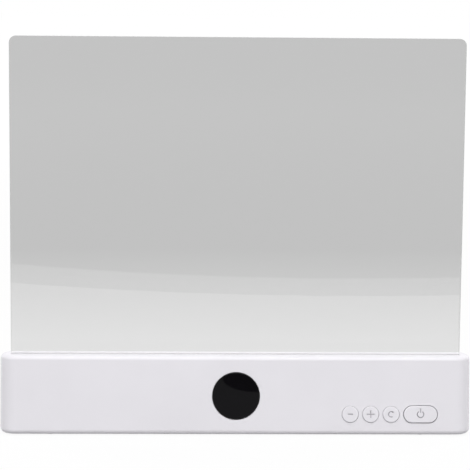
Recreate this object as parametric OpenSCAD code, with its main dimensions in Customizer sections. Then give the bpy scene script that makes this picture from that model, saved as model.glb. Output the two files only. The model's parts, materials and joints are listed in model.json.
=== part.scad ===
// Free-standing edge-lit reading lamp: a clear wedge panel stands in a white bar housing.
// Millimetres, X to the right, Y to the back, Z up, origin under the middle of the feet.

/* [Housing] */
// Width of the housing from end to end
shell_w = 224; // [218:1:240]
// Height of the housing above the feet
shell_h = 37; // [37:0.5:42]
// Depth of the housing under its top edge
shell_top_d = 16; // [15.5:0.5:19]
// Depth of the housing above its bottom edge
shell_base_d = 24; // [23:0.5:26]
// Radius of the four upright corners
corner_r = 7.5; // [6:0.5:7.5]
// Radius of the top and bottom edges
edge_r = 2.2; // [1.8:0.1:2.6]
// Thickness of the front and rear walls
wall = 2.2; // [2:0.1:2.4]
// Thickness of the top and bottom walls
floor_wall = 2; // [1.8:0.1:2.2]
// Thickness of the two end walls
end_wall = 2.5; // [2.2:0.1:3]
// Corner cut of the inner hollow
hollow_cut = 2.4; // [2:0.1:2.8]

/* [Light panel] */
// Distance of the panel ends from the housing ends
panel_inset = 5; // [4.5:0.1:8]
// Height of the panel that shows above the housing
panel_show = 150.5; // [100:0.5:180]
// Depth of the panel foot inside the housing
panel_seat = 8; // [7.5:0.1:8.4]
// Thickness of the panel at its foot
panel_foot_t = 4.8; // [4.4:0.1:5]
// Thickness of the panel at its top edge
panel_top_t = 3.35; // [2.4:0.05:4]
// Radius of the two top corners of the panel
panel_corner_r = 3.2; // [2:0.1:6]
// Gap between the panel and the slot in the housing top
slot_gap = 0.12; // [0.1:0.02:0.2]
// Gap between the panel foot and its holder
foot_gap = 0.1; // [0.05:0.05:0.15]

/* [Panel holder] */
// Wall thickness of the holder channel
holder_wall = 1.5; // [1.3:0.1:1.7]
// Thickness of the holder floor
holder_floor = 1.4; // [1.2:0.1:1.6]
// Length of the holder beyond the panel at each end
holder_over = 1; // [0.6:0.1:1]
// Diameter of the cross pins through the panel foot
pin_d = 2; // [1.8:0.1:2.2]
// Distance of each pin from the panel end
pin_inset = 8; // [6:0.5:12]
// Height of the pins above the panel foot
pin_rise = 3.4; // [3:0.1:3.8]
// Radial clearance of the pins
pin_fit = 0.05; // [0.03:0.01:0.08]
// Width of each support shelf under the holder
shelf_w = 6; // [4:0.5:8]
// Thickness of each support shelf
shelf_t = 1.4; // [1.2:0.1:1.5]
// Gap left between facing shelves
shelf_gap = 2; // [1.6:0.1:2.4]
// Distance of the outer left shelf from the middle
shelf_far_left = 85; // [80:1:88]
// Distance of the inner left shelf from the middle
shelf_near_left = 46; // [40:1:50]
// Distance of the inner right shelf from the middle
shelf_near_right = 14; // [8:1:20]
// Distance of the outer right shelf from the middle
shelf_far_right = 52; // [40:1:60]
// Width of the opening for the strip leads
lead_slot_w = 6; // [5:0.5:8]
// Distance of that opening from the panel end
lead_slot_inset = 14; // [12:0.5:18]

/* [Light strip] */
// Width of the light strip board
strip_d = 5.6; // [5.2:0.1:5.6]
// Thickness of the light strip board
strip_t = 1; // [0.8:0.1:1.2]
// Distance of the strip end from the panel end
strip_inset = 3; // [2:0.5:5]
// Number of light emitters
led_count = 24; // [12:1:30]
// Length of one emitter
led_w = 3.5; // [3:0.1:3.6]
// Width of one emitter
led_d = 2.8; // [2.4:0.1:3]
// Height of one emitter
led_h = 0.8; // [0.6:0.1:0.9]
// Gap between the emitters and the panel foot
led_gap = 0.3; // [0.2:0.1:0.4]

/* [Window] */
// Diameter of the round black window
window_d = 22.5; // [20:0.1:23]
// Gap around the window
window_gap = 0.15; // [0.1:0.05:0.25]
// Distance of the window centre below the middle of the front face
window_drop = 0.1; // [0:0.1:0.6]
// Thickness of the window
window_t = 1.35; // [1.2:0.05:1.4]
// Edge rounding of the window
window_edge_r = 0.35; // [0.2:0.05:0.5]
// Thickness of the bonding ring
tape_t = 0.15; // [0.1:0.05:0.2]
// Width of the ledge that carries the window
ledge_w = 2; // [1.6:0.1:2.4]

/* [Display] */
// Width of the display module
display_w = 15; // [12:0.5:15]
// Height of the display module
display_h = 10; // [8:0.5:10]
// Thickness of the display module
display_t = 6; // [5:0.1:6.2]

/* [Buttons] */
// Diameter of each round button opening
button_hole_d = 8; // [7.8:0.1:8.4]
// Length of the power button opening
power_hole_w = 16.5; // [15:0.1:17]
// Height of the power button opening
power_hole_h = 8.5; // [8.2:0.1:8.8]
// Space between neighbouring button openings
button_space = 1.75; // [1.6:0.05:1.9]
// Distance of the power button centre from the housing end
power_from_end = 24.2; // [23.5:0.1:24.5]
// Height of the button row above the straight part of the front face
button_v = 7.8; // [7.5:0.1:8]
// Gap around each round button
button_gap = 0.12; // [0.1:0.02:0.2]
// Gap around the power button
power_gap = 0.3; // [0.2:0.02:0.32]
// Height of each button above the front face
button_proud = 0.5; // [0.5:0.05:0.8]
// Edge rounding of each button
button_edge_r = 0.4; // [0.2:0.05:0.45]
// Width of the flange that keeps a button in
flange_w = 0.6; // [0.5:0.05:0.65]
// Thickness of that flange
flange_t = 0.8; // [0.6:0.1:1]
// Diameter of the stem behind each button
stem_d = 3; // [2.6:0.1:3.4]
// Depth of the symbols in the buttons
symbol_depth = 0.8; // [0.4:0.1:1]
// Line width of the symbols
symbol_line = 0.45; // [0.4:0.05:0.6]
// Width of the minus sign
minus_w = 2.3; // [2:0.1:2.8]
// Width of the plus sign
plus_w = 3.5; // [3:0.1:4]
// Outer diameter of the cycle ring
cycle_ring_d = 3; // [2.6:0.1:3.4]
// Outer diameter of the power ring
power_ring_d = 3.5; // [3:0.1:4]
// Opening angle of the cycle ring
cycle_opening = 115; // [90:5:130]
// Opening angle of the power ring
power_opening = 70; // [50:5:90]
// Width of the arrow head on the cycle ring
arrow_w = 1; // [0.8:0.1:1.3]
// Length of the arrow head on the cycle ring
arrow_l = 0.8; // [0.6:0.1:1]
// Length of the bar in the power sign
power_bar_l = 2; // [1.6:0.1:2.2]

/* [Switches] */
// Side of each switch body
switch_w = 6.2; // [5.8:0.1:6.4]
// Height of each switch body
switch_h = 3.5; // [3.3:0.1:3.8]
// Diameter of each switch plunger
plunger_d = 3.4; // [3:0.1:3.6]
// Height of each plunger above its switch body
plunger_out = 1; // [0.8:0.1:1.2]
// Length of each plunger inside its switch body
plunger_in = 1.3; // [1:0.1:1.4]
// Depth of the bore for each plunger
plunger_bore = 2.2; // [2:0.1:2.4]
// Radial clearance of each plunger
plunger_fit = 0.05; // [0.03:0.01:0.08]

/* [Main board] */
// Distance of the board front ahead of the middle plane at the foot of the front face
board_ahead = 1.6; // [1.5:0.1:1.7]
// Thickness of the board
board_t = 1.2; // [1:0.1:1.4]
// Left end of the board from the middle
board_left = 15; // [14.5:0.5:16]
// Right end of the board from the housing end
board_right = 10; // [9.8:0.1:10.2]
// Lower edge of the board on the front face scale
board_low_v = 2.6; // [2.4:0.1:3]
// Gap between the upper board edge and the holder shelves
board_top_gap = 1.8; // [1.6:0.1:2.4]
// Distance of the board screws from the board edges
board_screw_inset = 2.6; // [2.5:0.1:2.8]
// Outside diameter of the board posts
board_post_d = 4.4; // [4:0.1:4.6]
// Shank diameter of the board screws
board_screw_d = 1.6; // [1.4:0.1:1.8]
// Shank length of the board screws
board_screw_l = 5.6; // [5:0.1:6]
// Head diameter of the board screws
board_head_d = 3.6; // [3.2:0.1:3.8]
// Head height of the board screws
board_head_h = 1.2; // [1:0.1:1.4]
// Height of the largest component on the board
coil_h = 3; // [2:0.1:3.4]
// Side of the largest component on the board
coil_w = 6; // [5:0.1:6.4]
// Side of the controller chip
chip_w = 5; // [4:0.1:6]
// Height of the controller chip
chip_h = 1.4; // [1:0.1:1.8]
// Distance of the inner board screw left of the minus button
board_screw_lead = 10; // [8:0.5:12]
// Distance of the controller chip left of the minus button
chip_lead = 16; // [15:0.5:20]
// Height of the components on the front face scale
chip_v = 12; // [11:0.1:13]

/* [Charging port] */
// Width of the port across its long side
port_w = 8.94; // [8.9:0.01:9]
// Height of the port across its short side
port_h = 3.26; // [3.2:0.01:3.3]
// Length of the port
port_l = 7.3; // [7:0.1:7.6]
// Wall thickness of the port
port_wall = 0.3; // [0.25:0.01:0.35]
// Thickness of the contact tongue
tongue_t = 0.7; // [0.6:0.05:0.75]
// Width of the contact tongue
tongue_w = 6.7; // [6:0.1:6.8]
// Distance of the tongue behind the port mouth
tongue_short = 0.8; // [0.5:0.1:1.2]
// Distance of the port mouth behind the end face
port_set_back = 0.4; // [0.2:0.1:0.6]
// Gap around the port in the housing end
port_gap = 0.35; // [0.3:0.05:0.4]
// Height of the port centre on the front face scale
port_v = 12.4; // [12.2:0.1:12.6]
// Width of the board tab under the port
tab_w = 8.4; // [8:0.1:8.6]

/* [Battery] */
// Room between the battery cell and the middle posts
cell_end_gap = 9.2; // [7:0.2:16]
// Gap between the battery cell and the holder shelves
cell_top_gap = 1.4; // [1:0.1:3]
// Thickness of the battery cell
cell_t = 8; // [6:0.1:8.4]
// Edge rounding of the battery cell
cell_edge_r = 1.5; // [1:0.1:2]
// Left end of the cell from the housing end
cell_from_end = 14; // [12:0.5:16]
// Lower edge of the cell on the rear face scale
cell_low_v = 2.4; // [2:0.1:2.6]
// Thickness of the foam tape behind the cell
foam_t = 0.8; // [0.5:0.1:1]
// Distance of the foam tape from the cell ends
foam_end_inset = 6; // [3:0.5:10]
// Distance of the foam tape from the long cell edges
foam_edge_inset = 4; // [3:0.5:6]
// Diameter of each lead
lead_d = 1.2; // [1:0.1:1.3]
// Distance between the two leads of a pair
lead_pair = 2.4; // [2:0.1:2.6]
// Length of the straight start of the strip leads on the board
lead_start = 4.8; // [4:0.2:5.6]
// Width of the battery plug
plug_w = 4.8; // [4.4:0.1:5]
// Height of the battery plug
plug_h = 2.8; // [2.6:0.1:3]
// Length of the battery plug
plug_l = 7.4; // [7:0.1:8]
// Depth of the plug inside its socket
plug_in = 4.6; // [4:0.1:5]
// Wall thickness of the socket
socket_wall = 0.8; // [0.6:0.1:0.9]
// Clearance of the plug in its socket
plug_fit = 0.1; // [0.05:0.05:0.15]
// Distance of the socket from the left end of the board
socket_inset = 5; // [4.8:0.1:6]

/* [Case screws] */
// Outside diameter of the case posts
post_d = 5.6; // [5.4:0.1:5.6]
// Distance of the outer posts from the housing ends
post_inset = 6.6; // [6.4:0.1:6.8]
// Distance of the middle posts left of the middle
post_middle = 26; // [24:0.5:28]
// Height of the lower posts above the ground
post_low = 6.2; // [6:0.1:6.4]
// Gap between the upper posts and the panel holder
post_gap = 1.4; // [1.2:0.1:2]
// Shank diameter of the case screws
screw_d = 2.4; // [2.2:0.1:2.6]
// Shank length of the case screws
screw_l = 7.6; // [7:0.1:8]
// Head diameter of the case screws
head_d = 4.4; // [4:0.1:4.6]
// Head height of the case screws
head_h = 1.8; // [1.5:0.1:2]
// Gap around the screw heads and shanks
screw_gap = 0.3; // [0.3:0.05:0.4]
// Thickness of the seat under each screw head
seat_t = 2.2; // [2:0.1:2.6]
// Radial clearance of each screw in its post
screw_fit = 0.05; // [0.03:0.01:0.08]
// Width of the cross drive in the screw heads
drive_w = 2.4; // [2:0.1:2.6]
// Line width of the cross drive
drive_line = 0.6; // [0.5:0.05:0.7]
// Depth of the cross drive
drive_depth = 0.9; // [0.7:0.1:1]

/* [Feet] */
// Diameter of each rubber foot
foot_d = 6; // [5.6:0.1:6.4]
// Height of the feet under the housing
foot_proud = 0.5; // [0.4:0.1:1]
// Depth of the foot pockets
foot_pocket = 0.8; // [0.6:0.1:1]
// Gap around each foot in its pocket
foot_side_gap = 0.2; // [0.15:0.05:0.25]
// Distance of the feet from the housing ends
foot_inset = 24; // [16:1:40]
// Distance of the feet from the middle plane
foot_offset = 5.6; // [5.2:0.1:6]

/* [Hidden] */
curve_n = 48;
lead_sides = 8;
lead_steps = 14;
// Direction that no lead runs along
lead_up = [0, 1, 0.3];
// Overlap that lets a cut pass through a face
cut_over = 1;
// Angle by which the arrow head overlaps the end of the cycle ring
arrow_lap = 4;
shell_top = foot_proud + shell_h;
bend_low = foot_proud + edge_r;
bend_high = shell_top - edge_r;
lean = atan((shell_base_d - shell_top_d) / 2 / (bend_high - bend_low));
wall_y = wall / cos(lean);
hollow_low = foot_proud + floor_wall;
hollow_high = shell_top - floor_wall;
hollow_hx = shell_w / 2 - end_wall;
panel_w = shell_w - 2 * panel_inset;
panel_foot_z = shell_top - panel_seat;
panel_top_z = shell_top + panel_show;
panel_front_y = -panel_foot_t / 2;
panel_taper = atan((panel_foot_t - panel_top_t) / (panel_top_z - panel_foot_z));
strip_top_z = panel_foot_z - led_gap - led_h;
strip_low_z = strip_top_z - strip_t;
holder_low_z = strip_low_z - holder_floor;
holder_in_hy = panel_foot_t / 2 + foot_gap;
strip_in_hy = strip_d / 2 + foot_gap;
holder_out_hy = strip_in_hy + holder_wall;
holder_hx = panel_w / 2 + holder_over;
strip_hx = panel_w / 2 - strip_inset;
led_pitch = (2 * strip_hx - 2 * led_w) / (led_count - 1);
pin_x = panel_w / 2 - pin_inset;
pin_z = panel_foot_z + pin_rise;
lead_slot_x = panel_w / 2 - lead_slot_inset;
shelf_xs = [-shelf_far_left, -shelf_near_left, shelf_near_right, shelf_far_right];
window_v = (bend_high - bend_low) / cos(lean) / 2 - window_drop;
pocket_t = window_t + tape_t;
window_hole_d = window_d - 2 * ledge_w;
tape_hole_d = window_hole_d + 2 * window_gap;
power_x = shell_w / 2 - power_from_end;
cycle_x = power_x - power_hole_w / 2 - button_space - button_hole_d / 2;
plus_x = cycle_x - button_hole_d - button_space;
minus_x = plus_x - button_hole_d - button_space;
button_d = button_hole_d - 2 * button_gap;
power_w = power_hole_w - 2 * power_gap;
power_h = power_hole_h - 2 * power_gap;
power_half = (power_w - power_h) / 2;
board_depth = shell_base_d / 2 - board_ahead;
switch_depth = board_depth - switch_h;
stem_end = switch_depth - plunger_out;
board_rear = board_depth + board_t;
board_high_v = (holder_low_z - shelf_t - board_top_gap - bend_low + board_depth * sin(lean)) / cos(lean);
board_right_x = shell_w / 2 - board_right;
board_hole_d = board_screw_d + 2 * screw_gap;
board_screw_at = [
    [-board_left + board_screw_inset, board_low_v + board_screw_inset],
    [-board_left + board_screw_inset, board_high_v - board_screw_inset],
    [board_right_x - board_screw_inset, board_low_v + board_screw_inset],
    [board_right_x - board_screw_inset, board_high_v - board_screw_inset],
    [minus_x - board_screw_lead, board_high_v - board_screw_inset]
];
port_end_x = shell_w / 2 - port_set_back;
port_depth = board_rear + port_h / 2;
tongue_end_x = port_end_x - tongue_short;
tab_right_x = port_end_x - end_wall - port_gap;
cell_x = -shell_w / 2 + cell_from_end;
cell_depth = wall + foam_t;
cell_w = shell_w / 2 - cell_from_end - post_middle - post_d / 2 - cell_end_gap;
cell_high_v = (holder_low_z - shelf_t - cell_top_gap - bend_low + cell_depth * sin(lean)) / cos(lean);
cell_h = cell_high_v - cell_low_v;
foam_w = cell_w - 2 * foam_end_inset;
foam_h = cell_h - 2 * foam_edge_inset;
socket_w = plug_w + 2 * (plug_fit + socket_wall);
socket_h = plug_h + 2 * (plug_fit + socket_wall);
socket_l = plug_in + socket_wall;
socket_x = -board_left + socket_inset;
socket_v = (board_low_v + board_high_v) / 2;
plug_x = socket_x + plug_in - plug_l;
post_high = holder_low_z - post_gap - post_d / 2;
post_at = [
    [-shell_w / 2 + post_inset, post_low],
    [-shell_w / 2 + post_inset, post_high],
    [-post_middle, post_low],
    [-post_middle, post_high],
    [shell_w / 2 - post_inset, post_low]
];
foot_x = shell_w / 2 - foot_inset;

// Half depth of the housing at a height above the ground
function face_y(z) = shell_base_d / 2 - (z - bend_low) * tan(lean);

// A point behind the front face: across, up along the face, inward
function front_point(x, v, depth) = [
    x,
    -shell_base_d / 2 + v * sin(lean) + depth * cos(lean),
    bend_low + v * cos(lean) - depth * sin(lean)
];

// A point behind the rear face: across, up along the face, inward
function rear_point(x, v, depth) = [
    x,
    shell_base_d / 2 - v * sin(lean) - depth * cos(lean),
    bend_low + v * cos(lean) - depth * sin(lean)
];

// Plan of the hollow with cut corners
function hollow_plan(hx, hy, cut, z) = [
    [hx - cut, -hy, z], [hx, -hy + cut, z], [hx, hy - cut, z], [hx - cut, hy, z],
    [-hx + cut, hy, z], [-hx, hy - cut, z], [-hx, -hy + cut, z], [-hx + cut, -hy, z]
];

// Point on a lead between its four guide points
function bend_point(g, t) =
    pow(1 - t, 3) * g[0] + 3 * pow(1 - t, 2) * t * g[1] + 3 * (1 - t) * t * t * g[2] + t * t * t * g[3];

// Direction of a lead at a point
function bend_along(g, t) =
    3 * pow(1 - t, 2) * (g[1] - g[0]) + 6 * (1 - t) * t * (g[2] - g[1]) + 3 * t * t * (g[3] - g[2]);

// Vector of length one
function unit(v) = v / norm(v);

// Frame on the front face: X across, Y up along the face, Z outward
module on_front() {
    translate([0, -shell_base_d / 2, bend_low])
        rotate([90 - lean, 0, 0])
            children();
}

// The same frame on the rear face, turned round
module on_rear() {
    rotate([0, 0, 180])
        on_front()
            children();
}

// Rounded bar between two half circles
module slot_shape(w, h) {
    square([w - h, h], center = true);
    for (side = [-1, 1])
        translate([side * (w - h) / 2, 0])
            circle(d = h, $fn = curve_n);
}

// Round tube along four guide points
module lead(g) {
    rings = [
        for (i = [0 : lead_steps])
            let (t = i / lead_steps)
            let (along = unit(bend_along(g, t)))
            let (side = unit(cross(along, lead_up)))
            let (over = cross(side, along))
            for (k = [0 : lead_sides - 1])
                bend_point(g, t) + lead_d / 2 * (
                    cos(360 * k / lead_sides) * side + sin(360 * k / lead_sides) * over
                )
    ];
    last = lead_steps * lead_sides;
    polyhedron(
        points = rings,
        faces = concat(
            [[for (k = [0 : lead_sides - 1]) k]],
            [[for (k = [lead_sides - 1 : -1 : 0]) last + k]],
            [
                for (i = [0 : lead_steps - 1], k = [0 : lead_sides - 1])
                    let (n = (k + 1) % lead_sides)
                    [
                        i * lead_sides + k, (i + 1) * lead_sides + k,
                        (i + 1) * lead_sides + n, i * lead_sides + n
                    ]
            ]
        )
    );
}

// Ring at one rounded corner of the housing
module corner_ring() {
    rotate_extrude($fn = curve_n)
        translate([corner_r - edge_r, 0])
            circle(edge_r, $fn = curve_n);
}

// Outside of the closed housing
module outer_body() {
    hull()
        for (side = [-1, 1], face = [-1, 1]) {
            translate([side * (shell_w / 2 - corner_r), face * (shell_base_d / 2 - corner_r), bend_low])
                corner_ring();
            translate([side * (shell_w / 2 - corner_r), face * (shell_top_d / 2 - corner_r), bend_high])
                corner_ring();
        }
}

// Hollow inside the closed housing
module hollow() {
    low = hollow_plan(hollow_hx, face_y(hollow_low) - wall_y, hollow_cut, hollow_low);
    high = hollow_plan(hollow_hx, face_y(hollow_high) - wall_y, hollow_cut, hollow_high);
    count = len(low);
    polyhedron(
        points = concat(low, high),
        faces = concat(
            [[for (i = [0 : count - 1]) i]],
            [[for (i = [count - 1 : -1 : 0]) count + i]],
            [
                for (i = [0 : count - 1])
                    let (n = (i + 1) % count)
                    [i, count + i, count + n, n]
            ]
        )
    );
}

// Space on one side of the middle plane
module half_space(face) {
    translate([-shell_w, face > 0 ? 0 : -shell_base_d, -shell_h])
        cube([2 * shell_w, shell_base_d, 3 * shell_h]);
}

// One hollow half of the housing with its case posts and holder shelves
module half_shell(face) {
    difference() {
        intersection() {
            outer_body();
            half_space(face);
        }
        hollow();
    }
    for (p = post_at)
        translate([p[0], 0, p[1]])
            rotate([-90 * face, 0, 0])
                cylinder(d = post_d, h = face_y(p[1] + post_d / 2) - wall_y / 2, $fn = curve_n);
    shelf_far = face_y(holder_low_z) - wall_y / 2;
    for (x = shelf_xs)
        translate([x - shelf_w / 2, face > 0 ? shelf_gap / 2 : -shelf_far, holder_low_z - shelf_t])
            cube([shelf_w, shelf_far - shelf_gap / 2, shelf_t]);
}

// Slot for the panel in the housing top
module panel_slot() {
    hx = panel_w / 2 + slot_gap;
    hy = panel_foot_t / 2 + slot_gap;
    translate([-hx, -hy, hollow_high - cut_over])
        cube([2 * hx, 2 * hy, floor_wall + 2 * cut_over]);
}

// Pockets for the feet
module foot_pockets() {
    for (side = [-1, 1], face = [-1, 1])
        translate([side * foot_x, face * foot_offset, foot_proud - cut_over])
            cylinder(d = foot_d + 2 * foot_side_gap, h = foot_pocket + cut_over, $fn = curve_n);
}

// Opening around the charging port, through the end wall and past the post beside it
module port_opening() {
    on_front()
        translate([port_end_x - port_l - port_gap, port_v, -port_depth])
            rotate([90, 0, 90])
                linear_extrude(port_l + port_gap + port_set_back + cut_over)
                    slot_shape(port_w + 2 * port_gap, port_h + 2 * port_gap);
}

module front_shell() {
    color("WhiteSmoke")
    difference() {
        union() {
            half_shell(-1);
            on_front()
                for (p = board_screw_at)
                    translate([p[0], p[1], -board_depth])
                        cylinder(d = board_post_d, h = board_depth - wall / 2, $fn = curve_n);
        }
        panel_slot();
        foot_pockets();
        port_opening();
        for (p = post_at)
            translate([p[0], cut_over, p[1]])
                rotate([90, 0, 0])
                    cylinder(d = screw_d + 2 * screw_fit, h = screw_l - seat_t + 2 * cut_over, $fn = curve_n);
        on_front() {
            translate([0, window_v, -pocket_t])
                cylinder(d = window_d + 2 * window_gap, h = pocket_t + cut_over, $fn = 2 * curve_n);
            translate([0, window_v, -2 * wall])
                cylinder(d = window_hole_d, h = 3 * wall, $fn = 2 * curve_n);
            for (x = [minus_x, plus_x, cycle_x])
                translate([x, button_v, -2 * wall])
                    cylinder(d = button_hole_d, h = 3 * wall, $fn = curve_n);
            translate([power_x, button_v, -2 * wall])
                linear_extrude(3 * wall)
                    slot_shape(power_hole_w, power_hole_h);
            for (p = board_screw_at)
                translate([p[0], p[1], -board_depth - cut_over])
                    cylinder(d = board_screw_d + 2 * screw_fit, h = board_screw_l + cut_over, $fn = curve_n);
        }
    }
}

module rear_shell() {
    color("WhiteSmoke")
    difference() {
        half_shell(1);
        panel_slot();
        foot_pockets();
        port_opening();
        for (p = post_at)
            translate([p[0], 0, p[1]])
                rotate([-90, 0, 0]) {
                    translate([0, 0, -cut_over])
                        cylinder(d = screw_d + 2 * screw_gap, h = seat_t + 2 * cut_over, $fn = curve_n);
                    translate([0, 0, seat_t])
                        cylinder(d = head_d + 2 * screw_gap, h = shell_base_d, $fn = curve_n);
                }
    }
}

module light_panel() {
    hx = panel_w / 2;
    color("LightSteelBlue", 0.4)
    difference() {
        translate([0, -panel_front_y, 0])
            rotate([90, 0, 0])
                linear_extrude(panel_foot_t) {
                    translate([-hx, panel_foot_z])
                        square([panel_w, panel_top_z - panel_corner_r - panel_foot_z]);
                    translate([-hx + panel_corner_r, panel_foot_z])
                        square([panel_w - 2 * panel_corner_r, panel_top_z - panel_foot_z]);
                    for (side = [-1, 1])
                        translate([side * (hx - panel_corner_r), panel_top_z - panel_corner_r])
                            circle(panel_corner_r, $fn = curve_n);
                }
        translate([0, -panel_front_y, panel_foot_z])
            rotate([panel_taper, 0, 0])
                translate([-panel_w, 0, -cut_over])
                    cube([2 * panel_w, panel_foot_t, 2 * (panel_top_z - panel_foot_z)]);
        for (side = [-1, 1])
            translate([side * pin_x, panel_foot_t, pin_z])
                rotate([90, 0, 0])
                    cylinder(d = pin_d + 2 * pin_fit, h = 2 * panel_foot_t, $fn = curve_n);
    }
}

module panel_holder() {
    color("White")
    difference() {
        translate([-holder_hx, -holder_out_hy, holder_low_z])
            cube([2 * holder_hx, 2 * holder_out_hy, hollow_high - holder_low_z]);
        translate([-holder_hx - cut_over, -holder_in_hy, strip_low_z])
            cube([2 * (holder_hx + cut_over), 2 * holder_in_hy, shell_h]);
        translate([-holder_hx - cut_over, -strip_in_hy, strip_low_z])
            cube([2 * (holder_hx + cut_over), 2 * strip_in_hy, strip_t + led_h]);
        translate([lead_slot_x - lead_slot_w / 2, -holder_in_hy, holder_low_z - cut_over])
            cube([lead_slot_w, 2 * holder_in_hy, holder_floor + 2 * cut_over]);
        for (side = [-1, 1])
            translate([side * pin_x, shell_base_d, pin_z])
                rotate([90, 0, 0])
                    cylinder(d = pin_d + 2 * pin_fit, h = 2 * shell_base_d, $fn = curve_n);
    }
}

module panel_pins() {
    color("Silver")
    for (side = [-1, 1])
        translate([side * pin_x, holder_out_hy, pin_z])
            rotate([90, 0, 0])
                cylinder(d = pin_d, h = 2 * holder_out_hy, $fn = curve_n);
}

module led_board() {
    color("White")
    translate([-strip_hx, -strip_d / 2, strip_low_z])
        cube([2 * strip_hx, strip_d, strip_t]);
}

module leds() {
    color("Khaki")
    for (i = [0 : led_count - 1])
        translate([-strip_hx + led_w / 2 + i * led_pitch, -led_d / 2, strip_top_z])
            cube([led_w, led_d, led_h]);
}

module led_leads() {
    color("Gainsboro")
    for (side = [-1, 1])
        lead([
            [lead_slot_x + side * lead_pair / 2, lead_d, strip_low_z],
            [lead_slot_x + side * lead_pair / 2, lead_d, holder_low_z - lead_d],
            front_point(power_x + side * lead_pair / 2, board_high_v - 2 * lead_d, board_rear + lead_start),
            front_point(power_x + side * lead_pair / 2, board_high_v - 2 * lead_d, board_rear)
        ]);
}

module window_lens() {
    r = window_d / 2;
    e = window_edge_r;
    color([0.06, 0.06, 0.06])
    on_front()
        translate([0, window_v, -window_t])
            rotate_extrude($fn = 2 * curve_n) {
                square([r, window_t - e]);
                square([r - e, window_t]);
                intersection() {
                    translate([r - e, window_t - e])
                        circle(e, $fn = curve_n);
                    square([r, window_t]);
                }
            }
}

module window_tape() {
    color("Black")
    on_front()
        translate([0, window_v, -pocket_t])
            difference() {
                cylinder(d = window_d - 2 * window_gap, h = tape_t, $fn = 2 * curve_n);
                translate([0, 0, -cut_over])
                    cylinder(d = tape_hole_d, h = tape_t + 2 * cut_over, $fn = 2 * curve_n);
            }
}

module display_module() {
    color([0.12, 0.12, 0.13])
    on_front()
        translate([-display_w / 2, window_v - display_h / 2, -board_depth])
            cube([display_w, display_h, display_t]);
}

module main_board() {
    color("SeaGreen")
    on_front()
        translate([0, 0, -board_rear])
            difference() {
                union() {
                    translate([-board_left, board_low_v, 0])
                        cube([board_left + board_right_x, board_high_v - board_low_v, board_t]);
                    translate([0, port_v - tab_w / 2, 0])
                        cube([tab_right_x, tab_w, board_t]);
                }
                for (p = board_screw_at)
                    translate([p[0], p[1], -cut_over])
                        cylinder(d = board_hole_d, h = board_t + 2 * cut_over, $fn = curve_n);
            }
}

module board_chips() {
    color([0.2, 0.2, 0.22])
    on_front() {
        translate([plus_x - coil_w / 2, chip_v - coil_w / 2, -board_rear - coil_h])
            cube([coil_w, coil_w, coil_h]);
        for (x = [minus_x - chip_lead, power_x - chip_w])
            translate([x - chip_w / 2, chip_v - chip_w / 2, -board_rear - chip_h])
                cube([chip_w, chip_w, chip_h]);
    }
}

module switch_bodies() {
    color([0.15, 0.15, 0.16])
    on_front()
        for (x = [minus_x, plus_x, cycle_x, power_x])
            translate([x, button_v, -board_depth])
                difference() {
                    translate([-switch_w / 2, -switch_w / 2, 0])
                        cube([switch_w, switch_w, switch_h]);
                    translate([0, 0, switch_h - plunger_bore])
                        cylinder(d = plunger_d + 2 * plunger_fit, h = plunger_bore + cut_over, $fn = curve_n);
                }
}

// Half section of a button edge with its rounding
module button_section(r) {
    h = wall + button_proud;
    e = button_edge_r;
    square([r, h - e]);
    square([r - e, h]);
    intersection() {
        translate([r - e, h - e])
            circle(e, $fn = curve_n);
        square([r, h]);
    }
}

// Round button with flange and stem, its symbol cut by the children
module round_button(x) {
    on_front()
        translate([x, button_v, 0]) {
            difference() {
                translate([0, 0, -wall])
                    rotate_extrude($fn = curve_n)
                        button_section(button_d / 2);
                translate([0, 0, button_proud - symbol_depth])
                    linear_extrude(symbol_depth + cut_over)
                        children();
            }
            translate([0, 0, -wall - flange_t])
                cylinder(d = button_hole_d + 2 * flange_w, h = flange_t, $fn = curve_n);
            translate([0, 0, -stem_end])
                cylinder(d = stem_d, h = stem_end - wall - flange_t, $fn = curve_n);
        }
}

// Open ring with the opening turned to one side
module open_ring(d, opening, turn) {
    difference() {
        circle(d = d, $fn = curve_n);
        circle(d = d - 2 * symbol_line, $fn = curve_n);
        rotate(turn)
            polygon([
                [0, 0],
                [d, d * tan(opening / 2)],
                [d, -d * tan(opening / 2)]
            ]);
    }
}

module minus_button() {
    color("WhiteSmoke")
    round_button(minus_x)
        square([minus_w, symbol_line], center = true);
}

module plus_button() {
    color("WhiteSmoke")
    round_button(plus_x) {
        square([plus_w, symbol_line], center = true);
        square([symbol_line, plus_w], center = true);
    }
}

module cycle_button() {
    color("WhiteSmoke")
    round_button(cycle_x) {
        open_ring(cycle_ring_d, cycle_opening, 0);
        rotate(cycle_opening / 2 + arrow_lap)
            translate([(cycle_ring_d - symbol_line) / 2, 0])
                polygon([[-arrow_w / 2, 0], [arrow_w / 2, 0], [0, -arrow_l]]);
    }
}

module power_button() {
    color("WhiteSmoke")
    on_front()
        translate([power_x, button_v, 0]) {
            difference() {
                translate([0, 0, -wall]) {
                    for (side = [-1, 1])
                        translate([side * power_half, 0, 0])
                            rotate_extrude($fn = curve_n)
                                button_section(power_h / 2);
                    translate([-power_half, 0, 0])
                        rotate([90, 0, 90])
                            linear_extrude(2 * power_half) {
                                button_section(power_h / 2);
                                mirror([1, 0])
                                    button_section(power_h / 2);
                            }
                }
                translate([0, 0, button_proud - symbol_depth])
                    linear_extrude(symbol_depth + cut_over) {
                        open_ring(power_ring_d, power_opening, 90);
                        translate([-symbol_line / 2, (power_ring_d - power_bar_l) / 2])
                            square([symbol_line, power_bar_l]);
                    }
            }
            translate([0, 0, -wall - flange_t])
                linear_extrude(flange_t)
                    slot_shape(power_hole_w + 2 * flange_w, power_hole_h + 2 * flange_w);
            translate([0, 0, -stem_end])
                cylinder(d = stem_d, h = stem_end - wall - flange_t, $fn = curve_n);
        }
}

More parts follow.
